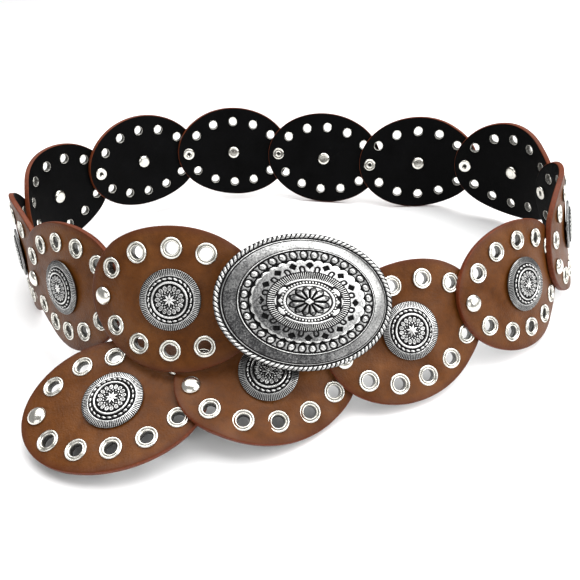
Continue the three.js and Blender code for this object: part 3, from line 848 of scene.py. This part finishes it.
def buckle_bands():
    """Bands of the buckle's front from its edge to its middle."""
    beads, flutes, strands, motifs, squares, petals = 32, 100, 100, 16, 48, 12
    # About how long each ring is round, to bring a share of it to millimetres
    beads_length, diamonds_length, loops_length, cartouche_length = 159.7, 122.7, 105, 74

    def lower_left_painted_shade(u):
        """Painted shade: 0 at the upper right, rising to 1 at the lower left, darkening the casting
        there.
        """
        return 0.5 - 0.5 * wave(u, 1, -0.125)

    def rope(v, u):
        twist = wave(u, strands, -0.85 * (v - 0.5))
        strand = np.sqrt(0.5 + 0.5 * twist)
        body = half_round(v)
        height = 1.0 + 1.15 * body * (1 - 0.55 * body * (1 - strand))
        gap = 1 - soft_step(strand, 0.15, 0.55)
        # The last term is painted shade: the rope darkens towards its outer edge, dimming its bright
        # reflections.
        black = np.maximum(gap, soft_step(v, 0.9, 1.0)) + 0.04 + 0.26 * (1 - soft_step(v, 0, 0.45))
        return height, black

    def line(v, u):
        crest = 1 - soft_step(np.abs(v - 0.62), 0.1, 0.24)
        return 1.3 + 0.35 * crest + 0.8 * v * v, 0.98 - 0.93 * crest

    def band(v, u):
        # Painted shade: the band is darker towards the lower left.
        black = 0.13 + 0.24 * lower_left_painted_shade(u) + 0.3 * soft_step(v, 0.93, 1)
        return 2.5 + 1.7 * v + 0.1 * np.sin(v * math.pi), black

    def double_line(v, u):
        crest = 1 - soft_step(np.abs(v - 0.36), 0.12, 0.26)
        return 4.1 + 0.1 * v + 0.35 * crest, 0.98 - 0.93 * crest

    def bead_ring(v, u):
        along = turn_from(u, beads, 0.5) * beads_length
        across = (v - 0.5) * 4.0
        away = np.hypot(along, across)
        dome = np.sqrt(np.clip(1 - (away / 1.72) ** 2, 0, 1))
        between = soft_step(away, 1.9, 2.1) * (1 - soft_step(np.abs(across), 1.6, 1.85))
        black = 0.98 - 0.88 * np.maximum(soft_step(dome, 0.15, 0.45), 0.85 * between)
        return 3.95 + 1.5 * dome + 0.8 * between, black

    def scallops(v, u):
        edge = 0.86 - 0.76 * np.abs(np.cos(math.pi * u * beads)) ** 0.8
        on = soft_step(v, edge - 0.08, edge + 0.08)
        return 4.2 + 1.6 * on, 1.0 - 0.95 * on

    def medallion(v, u):
        sides = np.cos(2 * math.pi * u) ** 2
        width = 4.1 + 2.0 * sides
        pillow = 0.1 * np.abs(np.cos(math.pi * u * beads)) * (1 - soft_step(v, 0.0, 0.35))
        along = turn_from(u, motifs) * diamonds_length
        across = (v - 0.32 - 0.3 * sides) * width
        inside = np.abs(along) / 1.9 + np.abs(across) / 1.75
        pit = 1 - soft_step(inside, 0.8, 1.05)
        facet = 1 - soft_step(np.hypot((along + 0.3) / 0.5, (across - 0.4) / 0.45), 0.5, 1.0)
        beside = turn_from(u, motifs, 0.5) * loops_length
        from_flutes = (1 - v) * width
        loop = np.where(from_flutes < 1.25, np.abs(beside), np.hypot(beside, from_flutes - 1.25))
        outline = black_line(loop - 0.95, 0.6)
        height = 5.8 + 0.3 * v + pillow - 0.9 * pit + 0.4 * facet * pit - 0.35 * outline
        # Painted shade: the medallion is darker towards the lower left.
        black = 0.13 + 0.2 * lower_left_painted_shade(u) + pit * (1 - 0.5 * facet) + outline
        return height, np.clip(black, 0, 1)

    def fluted(v, u):
        ridge = wave(u, flutes)
        on = soft_step(v, 0.06, 0.14) * (1 - soft_step(v, 0.94, 1))
        return 6.1 + 0.25 * ridge * on, np.where(on < 0.5, 0.75, 0.55 - 0.7 * ridge)

    def cartouche(v, u):
        sides = np.cos(2 * math.pi * u) ** 2
        width = 2.4 + 1.4 * sides
        c = v * width
        from_side = turn_from(u, 2) * cartouche_length
        at_side = 1 - soft_step(np.abs(from_side), 7.6, 8.2)
        arc = 1 - soft_step(np.abs(c - 0.45), 0.3, 0.5)
        row = 1 - soft_step(np.abs(turn_from(u, squares)) * cartouche_length, 0.38, 0.6)
        row = row * (1 - soft_step(np.abs(c - width + 0.75), 0.35, 0.6))
        leaf = 1 - soft_step(np.hypot((np.abs(from_side) - 4.9) / 2.5, (c - 1.3) / 1.25), 0.75, 0.95)
        lens = 1 - soft_step(np.hypot(from_side / 2.3, (c - 0.5) / 0.5), 0.75, 1.0)
        tip = 1 - soft_step(np.abs(from_side) / 1.5 + np.abs(c - 2.6) / 1.4, 0.7, 0.95)
        lump = np.maximum(np.maximum(arc * (1 - at_side), row),
                          np.maximum(np.maximum(leaf, lens), tip) * at_side)
        return 6.05 + 0.4 * lump, 0.98 - 0.96 * lump

    def ellipse(v, u):
        ridge = 1 - soft_step(np.abs(v - 0.36), 0.28, 0.4)
        return 6.15 + 0.4 * ridge, 0.98 - 0.94 * np.maximum(ridge, soft_step(v, 0.9, 1.0))

    def rosette(v, u):
        out = 1 - v * 0.75
        lobe = np.abs(turn_from(u, petals, 0.5)) * 2 * petals
        round_tip = np.sqrt(np.clip(1 - ((out - 0.68) / 0.23) ** 2, 0, 1))
        half = np.where(out < 0.68, 0.84, 0.84 * round_tip)
        apart = (lobe - half) * 2.2 * out
        tip = soft_step(out, 0.9, 0.94)
        line = np.where(out > 0.93, 0, black_line(np.minimum(np.abs(apart), 3), 0.65))
        line = np.maximum(line, black_line(out - 0.925, 0.07) * (lobe < 0.35))
        petal = (apart < 0) * (1 - tip)
        facet = petal * (1 - soft_step(np.hypot((lobe - 0.2) / 0.35, (out - 0.78) / 0.1), 0.5, 1.0))
        height = 6.15 + petal * (0.35 + 0.45 * (1 - lobe ** 2)) - 0.3 * line - 0.2 * facet
        # Painted shade: the petals are darker towards the lower left.
        return height, np.clip(0.08 + 0.14 * lower_left_painted_shade(u) + 0.95 * line + 0.2 * facet, 0, 1)

    def heart(v, u):
        edge = np.abs(np.sin(2 * math.pi * u)) + np.abs(np.cos(2 * math.pi * u))
        on = 1 - soft_step((1 - v) * edge, 0.82, 0.98)
        return 6.2 + on * (0.3 + 0.8 * v), 0.97 - 0.95 * on

    rows = {"rope": 11, "line": 7, "band": 8, "double_line": 7, "beads": 15, "scallops": 7,
            "medallion": 24, "flutes": 8, "cartouche": 14, "ellipse": 8, "petals": 24, "heart": 5}
    shapes = {"rope": rope, "line": line, "band": band, "double_line": double_line,
              "beads": bead_ring, "scallops": scallops, "medallion": medallion, "flutes": fluted,
              "cartouche": cartouche, "ellipse": ellipse, "petals": rosette, "heart": heart}
    return [(*BUCKLE_RINGS[name], count, shapes[name]) for name, count in rows.items()]


def pin(a, b, radius, sides=20, rounded=True):
    """A round pin from a to b, its far end rounded or plain."""
    a, b = Vector(a), Vector(b)
    length = (b - a).length
    turn = (b - a).to_track_quat("Z", "Y").to_matrix()
    circle = unit_circle(sides)
    steps = [(0.0, 1.0), (length - PIN_ROUNDING * radius, 1.0)]
    steps += [(length - PIN_ROUNDING_MIDDLE * radius, 0.85), (length, 0.5)] if rounded \
        else [(length, 1.0)]
    rings = [circle * radius * share + [0, 0, z] for z, share in steps]
    points = np.concatenate(rings) @ np.array(turn).T + np.array(a)
    rows = row_numbers(len(rings), sides)
    faces = strips(rows, sides) + [tuple(reversed(rows[0])), tuple(rows[-1])]
    return points, faces


def buckle():
    """The cast buckle, with its post to the first plate and its hook through the eyelet it holds."""
    end = POSES[0] @ bent_frame(PLATES[0], RIVET_SPACING / 2, 0, 0)
    to_buckle = (
        end @ Matrix.Translation((BUCKLE_CENTRE["right"], BUCKLE_CENTRE["up"],
                                  PLATE_THICKNESS / 2 + BUCKLE_STAND_OFF))
        @ Matrix.Rotation(math.radians(BUCKLE_PITCH), 4, "X")
        @ Matrix.Rotation(math.radians(BUCKLE_TURN), 4, "Z")
    )
    from_world = to_buckle.inverted()

    def inside(matrix, x, y, z):
        return from_world @ matrix @ Vector((x, y, z))

    front, dark = relief(buckle_bands(), BUCKLE_RINGS["outline"], BUCKLE_POINTS)
    back = []
    for half_x, half_y, height in BUCKLE_BACK:
        angles = even_angles(half_x, half_y, BUCKLE_POINTS)
        back.append(np.stack([half_x * np.cos(angles), half_y * np.sin(angles),
                              height + 0 * angles], axis=1))
    leather = PLATE_THICKNESS / 2 + PIECE_GAP
    held = HOOK_IN["plate"] - 1
    eyelet = POSES[held] @ bent_frame(PLATES[held], *HOLES[HOOK_IN["hole"]], 0)
    behind = -PLATE_THICKNESS / 2 - HOOK_SLACK - HOOK_DIAMETER / 2
    through = inside(eyelet, 0, 0, leather + HOOK_NECK)
    post_top = leather + BUCKLE_STAND_OFF + POST_INTO_BUCKLE
    post = pin(inside(end, 0, 0, post_top), inside(end, 0, 0, leather), POST_DIAMETER / 2,
               rounded=False)
    shank = pin(inside(end, 0, 0, leather + SHANK_INTO_POST), inside(end, 0, 0, -leather),
                SHANK_DIAMETER / 2, rounded=False)
    washer = pin(inside(end, 0, 0, -leather), inside(end, 0, 0, -leather - WASHER_THICKNESS),
                 WASHER_DIAMETER / 2)
    hook = pin(through, inside(eyelet, 0, 0, behind - HOOK_DIAMETER / 2), HOOK_DIAMETER / 2)
    neck = pin((through.x, through.y, HOOK_INTO_BUCKLE), through, HOOK_NECK_DIAMETER / 2)
    tip = pin(inside(eyelet, 0, 0, behind), inside(eyelet, -HOOK_TIP_LENGTH, 0, behind),
              HOOK_DIAMETER / 2)
    posts = joined([post, shank, washer, hook, neck, tip])
    piece = cast_piece("buckle_casting", front, dark, (0, 0, BUCKLE_FRONT_TOP), back,
                       (0, 0, BUCKLE_BACK_TOP), posts, to_buckle)
    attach(piece, "root")
    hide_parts("buckle")


for i in range(len(PLATES)):
    sheet = leather_plate(i)
    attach(sheet, "root")
    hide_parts("plate_%02d" % (i + 1))

eyelets, rivets = fasteners()
for piece in (eyelets, *rivets):
    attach(piece, "root")
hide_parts(*["rivet_%02d" % (i + 1) for i in range(len(PLATES))])
conchos()
buckle()


# Floor, light and camera

def studio():
    """Plain pale paper: matt, with hardly a tone in it."""
    paper, tree, shader, place = material("matt_white_paper")
    tone = ramp(tree, noise(tree, place, 300, 2), (0.3, colour("#F4F4F4")), (0.7, colour("#FAFAFA")))
    plug(tree, shader, Base_Color=tone, Roughness=0.85,
         Normal=bump(tree, noise(tree, place, 1.0, 3), 0.02, 0.2))
    reach = 6000
    corners = [(-reach, -reach, 0), (reach, -reach, 0), (reach, reach, 0), (-reach, reach, 0)]
    floor = mesh_object("floor", corners, [(0, 1, 2, 3)], [paper], smooth=False)


def area_light(name, place, target, size, power):
    light = bpy.data.lights.new(name, "AREA")
    light.shape, light.size, light.size_y = "RECTANGLE", size[0], size[1]
    light.energy = power
    made = bpy.data.objects.new(name, light)
    bpy.context.collection.objects.link(made)
    made.location = place
    made.rotation_euler = (Vector(target) - Vector(place)).to_track_quat("-Z", "Y").to_euler()


def lights():
    world = bpy.data.worlds.new("studio_air")
    bpy.context.scene.world = world
    world.use_nodes = True
    back = world.node_tree.nodes["Background"]
    back.inputs["Color"].default_value = (1, 1, 1, 1)
    back.inputs["Strength"].default_value = 0.3
    area_light("top_softbox", (0.1, 0.35, 1.3), (0, 0, 0.03), (2.2, 1.4), 38)
    area_light("right_softbox", (1.15, -0.6, 0.85), (0.05, 0, 0.03), (1.2, 0.9), 15)
    area_light("front_softbox", (-0.4, -1.5, 0.75), (0, 0, 0.03), (1.4, 1.0), 6)
    bpy.context.scene.view_settings.view_transform = "Standard"


def camera():
    lens = bpy.data.cameras.new("camera")
    lens.sensor_width, lens.lens = 36.0, 36.5
    lens.clip_start, lens.clip_end = 0.01, 50
    made = bpy.data.objects.new("camera", lens)
    bpy.context.collection.objects.link(made)
    made.location = (-0.00134, -0.3014, 0.20651)
    made.rotation_euler = [math.radians(a) for a in (55.229, 2.155, -1.183)]
    bpy.context.scene.camera = made


studio()
lights()
camera()
